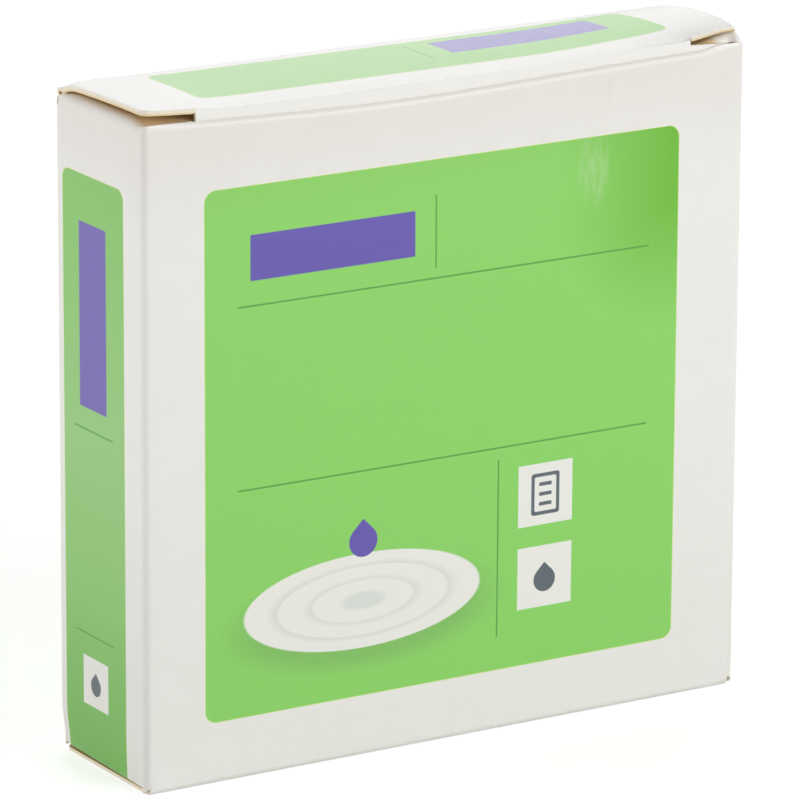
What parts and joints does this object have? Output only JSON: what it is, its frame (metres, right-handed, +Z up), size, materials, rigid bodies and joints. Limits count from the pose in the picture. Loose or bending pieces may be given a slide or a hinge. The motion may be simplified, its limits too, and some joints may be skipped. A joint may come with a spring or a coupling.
{
  "type": "boxed finger moistener",
  "caption": "Flat upright folding carton with tuck-in ends, holding a shallow round jar of gel with a push-on lid for moistening the fingers.",
  "frame": {"origin": "on the floor under the middle of the carton", "axes": "+Z up, +Y towards the carton's back panel, +X to the right as seen from the front"},
  "size_m": [0.0714, 0.018, 0.0712],
  "materials": {
    "printed_board": "coated, low gloss",
    "glue": "dried white glue",
    "jar_plastic": "satin",
    "lid_plastic": "satin",
    "gel": "wet gloss",
    "label": "coated, low gloss"
  },
  "bodies": {
    "carton_sleeve": {"front_panel": "printed_board", "back_panel": "printed_board", "left_side_panel": "printed_board", "right_side_panel": "printed_board", "glue_flap": "printed_board", "seam_glue": "glue"},
    "jar": {"jar_pot": "jar_plastic", "gel_fill": "gel"},
    "lid": {"jar_lid": "lid_plastic", "lid_label": "label"},
    "top_closure": {"top_closure_panel": "printed_board"},
    "top_tongue": {"top_tuck_tongue": "printed_board"},
    "top_left_dust": {"top_left_dust_flap": "printed_board"},
    "top_right_dust": {"top_right_dust_flap": "printed_board"},
    "bottom_closure": {"bottom_closure_panel": "printed_board"},
    "bottom_tongue": {"bottom_tuck_tongue": "printed_board"},
    "bottom_left_dust": {"bottom_left_dust_flap": "printed_board"},
    "bottom_right_dust": {"bottom_right_dust_flap": "printed_board"}
  },
  "joints": [
    {"name": "jar_lift", "type": "slide", "parent": "carton_sleeve", "child": "jar", "axis": [0, 0, 1], "range_m": [0, 0.053]},
    {"name": "lid_turn", "type": "hinge", "parent": "jar", "child": "lid", "pos_m": [0, 0.0066, 0.02805], "axis": [0, -1, 0], "continuous": true},
    {"name": "top_closure_hinge", "type": "hinge", "parent": "carton_sleeve", "child": "top_closure", "pos_m": [0, 0.0088, 0.071], "axis": [-1, 0, 0], "range_deg": [0, 178]},
    {"name": "top_tongue_crease", "type": "hinge", "parent": "top_closure", "child": "top_tongue", "pos_m": [0, -0.0082, 0.071], "axis": [-1, 0, 0], "range_deg": [0, 35.6]},
    {"name": "top_left_dust_crease", "type": "hinge", "parent": "carton_sleeve", "child": "top_left_dust", "pos_m": [-0.0355, 0, 0.0698], "axis": [0, -1, 0], "range_deg": [0, 80.2]},
    {"name": "top_right_dust_crease", "type": "hinge", "parent": "carton_sleeve", "child": "top_right_dust", "pos_m": [0.0355, 0, 0.0698], "axis": [0, 1, 0], "range_deg": [0, 80.2]},
    {"name": "bottom_closure_hinge", "type": "hinge", "parent": "carton_sleeve", "child": "bottom_closure", "pos_m": [0, -0.0088, 0.0002], "axis": [-1, 0, 0], "range_deg": [0, 120]},
    {"name": "bottom_tongue_crease", "type": "hinge", "parent": "bottom_closure", "child": "bottom_tongue", "pos_m": [0, 0.0082, 0.0002], "axis": [-1, 0, 0], "range_deg": [-24, 0]},
    {"name": "bottom_left_dust_crease", "type": "hinge", "parent": "carton_sleeve", "child": "bottom_left_dust", "pos_m": [-0.0355, 0, 0.0008], "axis": [0, 1, 0], "range_deg": [0, 54]},
    {"name": "bottom_right_dust_crease", "type": "hinge", "parent": "carton_sleeve", "child": "bottom_right_dust", "pos_m": [0.0355, 0, 0.0008], "axis": [0, -1, 0], "range_deg": [0, 54]}
  ],
  "couplings": [
    {"joint": "top_closure_hinge", "follows": "jar_lift", "rad_per_m": 58.61},
    {"joint": "top_tongue_crease", "follows": "jar_lift", "rad_per_m": 11.722},
    {"joint": "top_left_dust_crease", "follows": "jar_lift", "rad_per_m": 26.375},
    {"joint": "top_right_dust_crease", "follows": "jar_lift", "rad_per_m": 26.375},
    {"joint": "bottom_tongue_crease", "follows": "bottom_closure_hinge", "ratio": -0.2},
    {"joint": "bottom_left_dust_crease", "follows": "bottom_closure_hinge", "ratio": 0.45},
    {"joint": "bottom_right_dust_crease", "follows": "bottom_closure_hinge", "ratio": 0.45}
  ]
}
